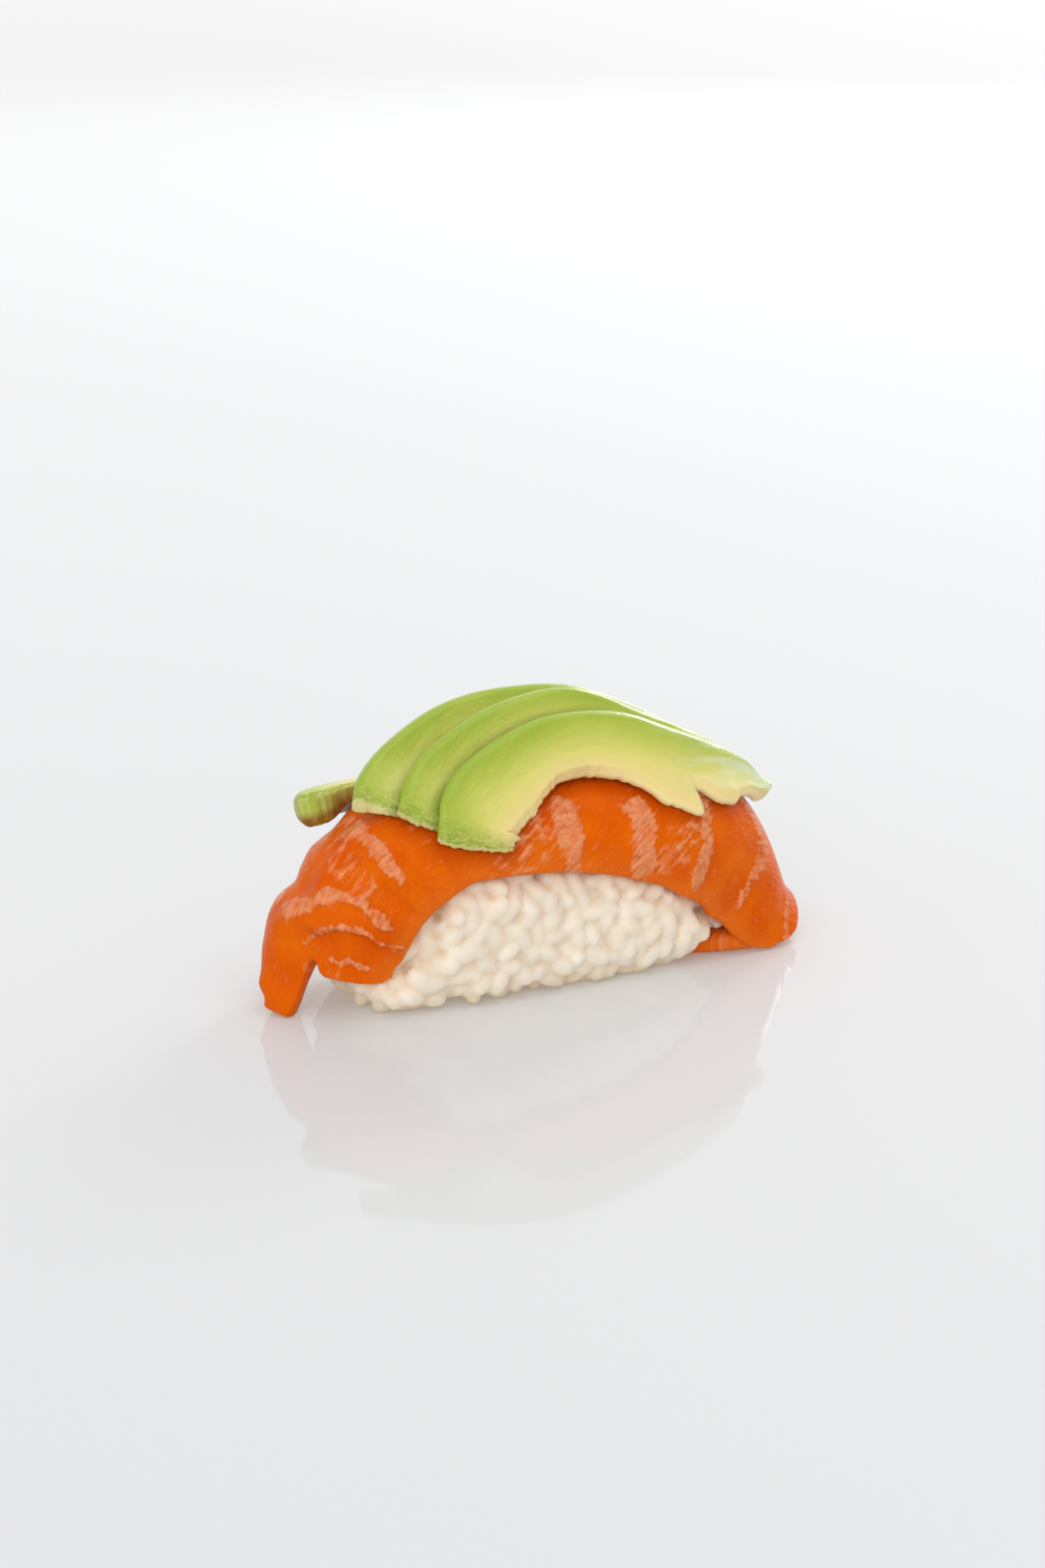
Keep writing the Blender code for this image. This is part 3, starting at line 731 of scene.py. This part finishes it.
def room_behind(face, normal, trees, most):
    """The distance behind each point of a slice's face to what lies there."""
    start = 14.0
    room = np.zeros(face.shape[:-1])
    for index in np.ndindex(room.shape):
        origin = Vector(face[index] + start * normal[index])
        room[index] = clear_reach(trees, origin, Vector(-normal[index]), start + most) + GAP - start
    return np.minimum(room, most)


def over_neighbours(blend, field, spread=ROOM_SPREAD):
    wide = np.pad(field, spread, mode="edge")
    rows, columns = field.shape
    steps = range(2 * spread + 1)
    return blend([wide[i : i + rows, j : j + columns] for i in steps for j in steps], axis=0)


def resampled(field, t, w):
    """A field over the room grid, read at shares t and w."""
    places = [np.interp(share, crowded(count), np.arange(count + 1)) for share, count in zip((t, w), ROOM_GRID)]
    corner = [np.clip(place.astype(int), 0, count - 1) for place, count in zip(places, ROOM_GRID)]
    f, g = (place - low for place, low in zip(places, corner))
    if field.ndim == 3:
        f, g = f[..., None], g[..., None]
    i, j = corner
    near = field[i, j] * (1 - g) + field[i, j + 1] * g
    far = field[i + 1, j] * (1 - g) + field[i + 1, j + 1] * g
    return near * (1 - f) + far * f


def torn_edge(seed, place):
    """How far, in mm, the inner edge stands out at a place along it, in mm."""
    return 0.35 * noise_at(2.6, seed, place) + 0.30 * noise_at(0.9, seed + 1, place)


def slice_ends(seed, from_left, from_right, from_inner, w, lobe):
    """Where each point lies along the slice, in mm, with a ragged left end and rounded corners."""
    ragged = 0.5 + 0.5 * noise_at(1.4, seed + 2, from_inner) + 0.6 * noise_at(0.6, seed + 5, from_inner)
    corner = abs(2.0 * w - 1.0) ** 3
    left = (0.9 * ragged + 1.1 * corner) * smoothstep(1.0 - from_left / 4.0)
    right = 2.2 * corner * smoothstep(1.0 - from_right / 6.0)
    return from_left + LOBE_LEAN * lobe + left - right


def pressed(thick, from_inner):
    """How far the inner edge of a slice is pressed down, and so thinned."""
    return 0.7 * np.maximum(thick - EDGE_THICKNESS, 0.0) * (1.0 - smoothstep(from_inner / EDGE_TAPER))


def mark_painted_shade(obj, trees, reach):
    """Gives each point of an object how near it is to the closest of some pieces, from 0 at reach mm to 1, as the field
    that the looks use to paint shade there.
    """
    points = np.empty(len(obj.data.vertices) * 3)
    obj.data.vertices.foreach_get("co", points)
    points = points.reshape(-1, 3) / METRES_PER_MM + MIDDLE
    nearest = [min(tree.find_nearest(point, reach)[3] or reach for tree in trees) for point in points.tolist()]
    attribute = obj.data.attributes.new("near", "FLOAT", "POINT")
    attribute.data.foreach_set("value", smoothstep(1.0 - np.array(nearest) / reach).astype(np.float32))


def make_slice(name, rim, inner, trees, look, most):
    """A slice whose back rests on what is behind it, with a torn inner edge and a thin left end."""
    seed = int(name[-1])
    t, w = np.meshgrid(*(crowded(count) for count in ROOM_GRID), indexing="ij")
    outer, within = curve_through(rim, t), curve_through(inner, t)
    face = within + (outer - within) * w[..., None]
    normal = unit(np.cross(np.gradient(face, axis=0), np.gradient(face, axis=1)))
    room = room_behind(face, normal, trees, most + GAP)
    lift = over_neighbours(np.mean, over_neighbours(np.max, np.maximum(THINNEST_SLICE + GAP - room, 0.0)))
    face = face + normal * lift[..., None]
    length = np.linalg.norm(np.diff(outer[:, 0], axis=0), axis=-1).sum()
    leans = name != FLAT_SLICE
    if leans:
        far = over_neighbours(np.mean, room_behind(face, normal, trees, END_DROP))
        drop = np.maximum(far - GAP - END_THICKNESS, 0.0) * smoothstep(1.0 - t * length / END_TAPER)
        face = face - normal * drop[..., None]
    room = room_behind(face, normal, trees, most + GAP)
    spread = ROOM_SPREAD if leans else 1
    thickness = over_neighbours(np.mean, over_neighbours(np.min, room, spread), spread) - GAP
    thickness = np.maximum(thickness, END_THICKNESS + (THINNEST_SLICE - END_THICKNESS) * (drop < 0.1 if leans else 1.0))

    t, w = np.meshgrid(*(crowded(count) for count in SLICE_GRID), indexing="ij")
    width = np.linalg.norm(curve_through(rim, t) - curve_through(inner, t), axis=-1)
    from_left, from_right, from_inner, from_rim = t * length, (1 - t) * length, w * width, (1 - w) * width
    fade = smoothstep(1.0 - from_inner / 4.0)
    lobe = at_stations(EDGE_LOBES, from_left) * fade * (name == FRONT_SLICE)
    torn = torn_edge(seed, from_left) * fade * smoothstep(from_right / 5.0)
    along = slice_ends(seed, from_left, from_right, from_inner, w, lobe) / length
    across = (from_inner - lobe - torn) / width
    along, past = np.clip(along, 0.0, 1.0), np.minimum(across, 0.0) * width
    surface = resampled(face, along, np.clip(across, 0.0, 1.0))
    facing = unit(resampled(normal, along, np.clip(across, 0.0, 1.0)))
    thick = resampled(thickness, along, np.clip(across, 0.0, 1.0))
    outwards = unit(curve_through(inner, along) - curve_through(rim, along))
    surface = surface - outwards * past[..., None]
    loose = past < -0.05
    room = room_behind(surface[loose], facing[loose], trees, most + GAP)
    surface[loose] += facing[loose] * np.maximum(END_THICKNESS + GAP - room, 0.0)[:, None]
    thick[loose] = np.clip(room - GAP, END_THICKNESS, thick[loose])

    if leans:
        press = pressed(thick, from_inner)
        surface, thick = surface - facing * press[..., None], thick - press
    depth = np.minimum(from_rim / RIM_ROUNDING, from_inner / INNER_ROUNDING)
    depth = np.minimum(depth, np.minimum(from_left, from_right) / END_ROUNDING)
    near_end = smoothstep(1.0 - from_left / 8.5)
    rough = 0.10 * noise_at(4.0, seed + 3, from_left, from_inner)
    rough += (0.04 + 0.38 * near_end) * noise_at(1.6, seed + 4, from_left, from_inner)
    rough += 0.26 * near_end * noise_at(0.8, seed + 6, from_left, from_inner)
    middle = surface - facing * (thick / 2)[..., None]
    full = rounded(depth, 1.0)
    upper = middle + facing * (full * (thick / 2 + rough * smoothstep(depth)))[..., None]
    lower = middle - facing * (full * thick / 2)[..., None]
    points, faces, laid_out = shell_of(upper, lower)
    wall = np.maximum(smoothstep(1.0 - from_inner / 0.8), 1.6 * smoothstep(1.0 - from_left / 0.5) * smoothstep((0.8 - w) / 0.3))
    fields = {
        "rim": laid_out(np.clip(w - 0.4 * torn / width, 0.0, 1.0)),
        "end": laid_out(near_end),
        # Painted sheen over the right part of each slice, towards its rim.
        "painted_sheen": laid_out(smoothstep((t - 0.62) / 0.35) * smoothstep((w + 0.15) / 0.6)),
        "tear": laid_out(smoothstep(1.0 - np.minimum(from_left, from_inner) / 0.9)) * (1.0 if leans else 0.0),
        # Painted shade, tinted by orange light from the salmon, over the flat slice's underside and, half as strong,
        # along its inner edge and left end.
        "under": laid_out(0.5 * wall, np.ones(w.shape)) * (0.0 if leans else 1.0),
    }
    obj = add_mesh(name + "_flesh", points, faces, look, laid_out(np.stack([from_left, from_inner], -1) / 100.0), fields)
    finish_piece(obj, name)
    return obj, tree_of(points, faces)


# ---------------------------------------------------------------- materials

class Look:
    """A Principled material with a few ways to lay nodes in it."""

    def __init__(self, name, colour, roughness):
        self.material = bpy.data.materials.new(name)
        self.material.use_nodes = True
        self.tree = self.material.node_tree
        self.shader = self.tree.nodes["Principled BSDF"]
        self.put("Base Color", colour)
        self.put("Roughness", roughness)

    def put(self, socket, value):
        """Sets a shader socket to a number or colour, or links a node's output to it."""
        target = self.shader.inputs[socket]
        if isinstance(value, bpy.types.NodeSocket):
            self.tree.links.new(value, target)
        elif isinstance(value, tuple) and target.type == "RGBA":
            target.default_value = (*value, 1.0)
        else:
            target.default_value = value

    def node(self, kind, inputs=None, **settings):
        node = self.tree.nodes.new(kind)
        for name, value in settings.items():
            setattr(node, name, value)
        for name, value in (inputs or {}).items():
            if isinstance(value, bpy.types.NodeSocket):
                self.tree.links.new(value, node.inputs[name])
            else:
                node.inputs[name].default_value = value
        return node

    def field(self, name):
        return self.node("ShaderNodeAttribute", attribute_name=name).outputs["Fac"]

    def noise(self, scale, detail=2.0, stretch=(1.0, 1.0, 1.0), turn=0.0, of="UV", offset=0.0):
        """Noise whose scale counts features in a metre, or in 100 mm of the UV map."""
        source = self.node("ShaderNodeTexCoord").outputs[of]
        mapping = self.node(
            "ShaderNodeMapping",
            {"Vector": source, "Scale": stretch, "Rotation": (0.0, 0.0, turn), "Location": (offset,) * 3},
            vector_type="TEXTURE",
        )
        inputs = {"Vector": mapping.outputs[0], "Scale": scale, "Detail": detail}
        return self.node("ShaderNodeTexNoise", inputs).outputs["Fac"]

    def ramp(self, value, *stops):
        """A colour ramp through (place, colour or grey) stops."""
        ramp = self.node("ShaderNodeValToRGB", {"Fac": value})
        elements = ramp.color_ramp.elements
        while len(elements) < len(stops):
            elements.new(0.5)
        for element, (place, colour) in zip(elements, stops):
            element.position = place
            element.color = (*colour, 1.0) if isinstance(colour, tuple) else (colour, colour, colour, 1.0)
        return ramp.outputs["Color"]

    def maths(self, operation, a, b=0.0, clamp=False):
        node = self.node("ShaderNodeMath", operation=operation, use_clamp=clamp)
        for socket, value in zip(node.inputs, (a, b)):
            if isinstance(value, bpy.types.NodeSocket):
                self.tree.links.new(value, socket)
            else:
                socket.default_value = value
        return node.outputs[0]

    def mix(self, share, a, b, blend="MIX"):
        node = self.node("ShaderNodeMix", data_type="RGBA", blend_type=blend)
        for socket, value in zip((node.inputs[0], node.inputs[6], node.inputs[7]), (share, a, b)):
            if isinstance(value, bpy.types.NodeSocket):
                self.tree.links.new(value, socket)
            else:
                socket.default_value = (*value, 1.0) if isinstance(value, tuple) else value
        return node.outputs[2]

    def bump(self, height, distance, under=None):
        inputs = {"Height": height, "Distance": distance, "Strength": 1.0}
        if under is not None:
            inputs["Normal"] = under
        return self.node("ShaderNodeBump", inputs).outputs["Normal"]


def salmon_look():
    look = Look("salmon", (0.78, 0.15, 0.01), 0.35)
    fat_and_sheen, edge, slant = look.field("fat_and_sheen"), look.field("edge"), look.field("slant")
    cloudy = look.noise(14.0, 3.0, offset=1.0)
    flesh = look.ramp(cloudy, (0.3, (0.70, 0.090, 0.0005)), (0.7, (0.78, 0.142, 0.001)))
    upright = look.noise(150.0, 4.0, stretch=(6.0, 1.0, 1.0))
    slanted = look.noise(150.0, 4.0, stretch=(6.0, 1.0, 1.0), turn=0.66)
    fibres = look.mix(slant, upright, slanted)
    blotches = look.noise(60.0, 4.0, stretch=(1.6, 1.0, 1.0), offset=5.0)
    torn = look.maths("ADD", look.maths("MULTIPLY", fibres, 0.5), look.maths("MULTIPLY", blotches, 0.5))
    torn = look.ramp(torn, (0.38, 0.0), (0.62, 1.0))
    reached = look.maths("ADD", fat_and_sheen, look.maths("MULTIPLY", look.maths("SUBTRACT", torn, 0.5), 0.9))
    speckled = look.ramp(look.noise(110.0, 5.0, stretch=(1.8, 1.0, 1.0), offset=7.0), (0.36, 0.45), (0.58, 1.0))
    share = look.maths("MULTIPLY", look.ramp(reached, (0.30, 0.0), (0.90, 1.0)), speckled)
    # Painted shade: the flesh darker and redder close under the avocado slices.
    flesh = look.mix(look.maths("MULTIPLY", look.field("near"), 0.6), flesh, (0.46, 0.045, 0.0))
    # Pale fat, partly a painted sheen and highlights of the wet flesh.
    colour = look.mix(share, flesh, (0.88, 0.33, 0.15))
    # Painted light shining through the thin long edges.
    colour = look.mix(look.maths("MULTIPLY", edge, 0.3), colour, (0.80, 0.22, 0.03))
    look.put("Base Color", colour)
    look.put("Roughness", look.maths("ADD", look.maths("MULTIPLY", share, 0.12), 0.24))
    look.put("Specular IOR Level", 0.05)
    look.put("Specular Tint", (1.0, 0.55, 0.3))
    look.put("Subsurface Weight", 0.2)
    look.put("Subsurface Radius", (1.0, 0.25, 0.05))
    look.put("Subsurface Scale", 0.002)
    look.put("Coat Weight", 0.03)
    look.put("Coat Roughness", 0.12)
    uneven = look.maths("MULTIPLY", look.maths("SUBTRACT", torn, 0.5), look.maths("ADD", fat_and_sheen, 0.35))
    grain = look.bump(uneven, 0.0004)
    look.put("Normal", look.bump(look.noise(230.0, 3.0, offset=3.0), 0.00005, grain))
    return look.material


def rice_look():
    look = Look("rice", (0.86, 0.80, 0.70), 0.4)
    hollow, salmon_bounce_light, low = look.field("hollow"), look.field("salmon_bounce_light"), look.field("low")
    patchy = look.noise(160.0, 2.0, of="Object")
    white = look.ramp(patchy, (0.3, (0.87, 0.76, 0.61)), (0.7, (0.90, 0.81, 0.68)))
    # Painted shade: warmer and darker in the hollows between the grains.
    white = look.mix(hollow, white, (0.88, 0.74, 0.56))
    # Painted shade: darker and yellower towards the ground.
    white = look.mix(look.maths("MULTIPLY", low, 0.7), white, (0.80, 0.62, 0.36))
    # Painted light: the rice tinted by light from the salmon near it.
    look.put("Base Color", look.mix(look.maths("MULTIPLY", salmon_bounce_light, 0.55), white, (0.94, 0.62, 0.42)))
    look.put("Specular IOR Level", 0.3)
    look.put("Subsurface Weight", 0.85)
    look.put("Subsurface Radius", (1.0, 0.85, 0.7))
    look.put("Subsurface Scale", 0.0045)
    look.put("Coat Weight", 0.1)
    look.put("Coat Roughness", 0.25)
    look.put("Normal", look.bump(look.noise(700.0, 2.0, of="Object"), 0.00006))
    return look.material


def avocado_look():
    look = Look("avocado", (0.5, 0.55, 0.15), 0.35)
    rim, end, under = look.field("rim"), look.field("end"), look.field("under")
    cloudy = look.noise(12.0, 3.0, stretch=(1.7, 0.7, 1.0))
    streaks = look.noise(45.0, 3.0, stretch=(4.0, 0.4, 1.0))
    place = look.maths("ADD", rim, look.maths("MULTIPLY", look.maths("SUBTRACT", cloudy, 0.5), 0.40))
    place = look.maths("ADD", place, look.maths("MULTIPLY", look.maths("SUBTRACT", streaks, 0.5), 0.16))
    place = look.maths("ADD", place, look.maths("MULTIPLY", end, 0.22), clamp=True)
    flesh = look.ramp(
        place,
        (0.03, (0.86, 0.66, 0.28)),
        (0.35, (0.72, 0.66, 0.17)),
        (0.65, (0.50, 0.55, 0.075)),
        (0.94, (0.33, 0.45, 0.025)),
    )
    # Painted sheen: a pale silvery film in streaks on the right part of the slices.
    sheen_streaks = look.ramp(look.noise(60.0, 4.0, stretch=(5.0, 1.0, 1.0), offset=6.0), (0.36, 0.0), (0.62, 1.0))
    sheen_share = look.maths("MULTIPLY", look.field("painted_sheen"), sheen_streaks)
    flesh = look.mix(look.maths("MULTIPLY", sheen_share, 0.75), flesh, (0.70, 0.76, 0.55))
    # Painted shade for the flat slice's underside: a speckled brown olive.
    underside_shade_noise = look.noise(500.0, 2.0, of="Object")
    speckled = look.ramp(underside_shade_noise, (0.4, (0.22, 0.075, 0.008)), (0.7, (0.36, 0.22, 0.02)))
    grainy = look.noise(120.0, 3.0, offset=4.0)
    pitted = look.ramp(grainy, (0.36, (0.33, 0.44, 0.03)), (0.5, (0.52, 0.60, 0.11)), (0.64, (0.72, 0.72, 0.28)))
    flesh = look.mix(look.maths("MULTIPLY", end, 0.6), flesh, pitted)
    flesh = look.mix(look.maths("MULTIPLY", look.field("tear"), 0.7), flesh, (0.84, 0.74, 0.36))
    # Painted shade in the crevice next to the slice in front.
    shaded = look.maths("MULTIPLY", look.field("near"), look.maths("ADD", cloudy, 0.4), clamp=True)
    flesh = look.mix(shaded, flesh, (0.15, 0.24, 0.008))
    # The flat slice's underside gets the painted shade colour.
    look.put("Base Color", look.mix(under, flesh, speckled))
    look.put("Roughness", 0.42)
    look.put("Specular IOR Level", 0.25)
    look.put("Subsurface Weight", 0.15)
    look.put("Subsurface Radius", (0.9, 1.0, 0.2))
    look.put("Subsurface Scale", 0.0015)
    look.put("Coat Weight", 0.4)
    look.put("Coat Roughness", 0.2)
    pits = look.bump(look.maths("MULTIPLY", grainy, look.maths("ADD", end, 0.15)), 0.0006)
    look.put("Normal", look.bump(streaks, 0.00015, pits))
    return look.material


# ---------------------------------------------------------------- stage

def floor_look():
    look = Look("floor", (0.50, 0.53, 0.56), 0.6)
    look.put("Coat Weight", 0.5)
    look.put("Coat Roughness", 0.06)
    look.put("Specular IOR Level", 0.0)
    look.put("Emission Color", (1.0, 0.87, 0.76))
    look.put("Emission Strength", 0.22)
    return look.material


def make_stage():
    size = 40.0
    mesh = bpy.data.meshes.new("floor")
    mesh.from_pydata([(-size, -size, 0), (size, -size, 0), (size, size, 0), (-size, size, 0)], [], [(0, 1, 2, 3)])
    mesh.materials.append(floor_look())
    floor = bpy.data.objects.new("floor", mesh)
    bpy.context.scene.collection.objects.link(floor)


def direction(azimuth, elevation):
    """From the object towards a viewer or a lamp there. Azimuth 0 is in front, at -Y."""
    a, e = math.radians(azimuth), math.radians(elevation)
    return Vector((math.sin(a) * math.cos(e), -math.cos(a) * math.cos(e), math.sin(e)))


def make_surroundings():
    """A studio all round: a dim room in front, a bright backdrop, and large soft lamps."""
    world = bpy.data.worlds.new("studio")
    bpy.context.scene.world = world
    world.use_nodes = True
    nodes, links = world.node_tree.nodes, world.node_tree.links
    way = nodes.new("ShaderNodeTexCoord").outputs["Generated"]
    total = None
    for azimuth, elevation, inner, outer, strength in SURROUNDINGS:
        dot = nodes.new("ShaderNodeVectorMath")
        dot.operation = "DOT_PRODUCT"
        links.new(way, dot.inputs[0])
        dot.inputs[1].default_value = direction(azimuth, elevation)
        patch = nodes.new("ShaderNodeMapRange")
        patch.interpolation_type = "SMOOTHSTEP"
        links.new(dot.outputs["Value"], patch.inputs["Value"])
        patch.inputs["From Min"].default_value = math.cos(math.radians(outer))
        patch.inputs["From Max"].default_value = math.cos(math.radians(inner))
        patch.inputs["To Max"].default_value = strength
        if total is None:
            total = patch.outputs[0]
        else:
            add = nodes.new("ShaderNodeMath")
            links.new(total, add.inputs[0])
            links.new(patch.outputs[0], add.inputs[1])
            total = add.outputs[0]
    add = nodes.new("ShaderNodeMath")
    add.inputs[1].default_value = ROOM_LIGHT
    links.new(total, add.inputs[0])
    background = nodes["Background"]
    background.inputs["Color"].default_value = (1.0, 1.0, 1.0, 1.0)
    links.new(add.outputs[0], background.inputs["Strength"])


def add_softbox(name, azimuth, elevation, distance, size, watts, colour=(1.0, 1.0, 1.0)):
    light = bpy.data.lights.new(name, "AREA")
    light.shape = "RECTANGLE"
    light.size, light.size_y = size
    light.energy = watts
    light.color = colour
    lamp = bpy.data.objects.new(name, light)
    bpy.context.scene.collection.objects.link(lamp)
    aim = Vector((0.0, 0.0, 0.02))
    lamp.location = aim + direction(azimuth, elevation) * distance
    lamp.rotation_euler = (lamp.location - aim).to_track_quat("Z", "Y").to_euler()


def make_light():
    make_surroundings()
    for softbox in SOFTBOXES:
        add_softbox(*softbox)


def make_camera():
    camera = bpy.data.cameras.new("camera")
    camera.lens, camera.sensor_width = LENS, SENSOR
    obj = bpy.data.objects.new("camera", camera)
    bpy.context.scene.collection.objects.link(obj)
    target = (Vector(CAMERA_TARGET) - Vector(MIDDLE)) * METRES_PER_MM
    back = direction(CAMERA_AZIMUTH, CAMERA_ELEVATION)
    obj.location = target + back * CAMERA_DISTANCE * METRES_PER_MM
    obj.rotation_euler = back.to_track_quat("Z", "Y").to_euler()
    bpy.context.scene.camera = obj


def main():
    scene = bpy.context.scene
    scene.view_settings.view_transform = "Standard"
    salmon = salmon_look()
    slab, solid = make_salmon(salmon)
    solids = [tree_of(*solid), tree_of(*make_tongue(salmon))]
    make_rice(rice_look(), solids)
    avocado = avocado_look()
    trees = solids[:1]
    slices = [make_slice(FLAT_SLICE, FLAT_RIM, FLAT_INNER, trees, avocado, FLAT_SLICE_THICKNESS)]
    for name, rim in LEANING_RIMS.items():
        band = 1.0 if name == FRONT_SLICE else HIDDEN_BAND
        inner = np.array(rim) + band * np.array(RIM_TO_INNER)
        inner[0] += END_SLANT[name]
        trees.append(slices[-1][1])
        slices.append(make_slice(name, rim, inner, trees, avocado, SLICE_THICKNESS))
    # Painted shade: a slice darker next to the slice in front of it, and the salmon darker near the slices.
    for (obj, _), (_, tree) in zip(slices, slices[1:]):
        mark_painted_shade(obj, [tree], CREVICE_SHADE_REACH)
    mark_painted_shade(slab, [tree for _, tree in slices], SHADE_REACH)
    make_stage()
    make_light()
    make_camera()


main()
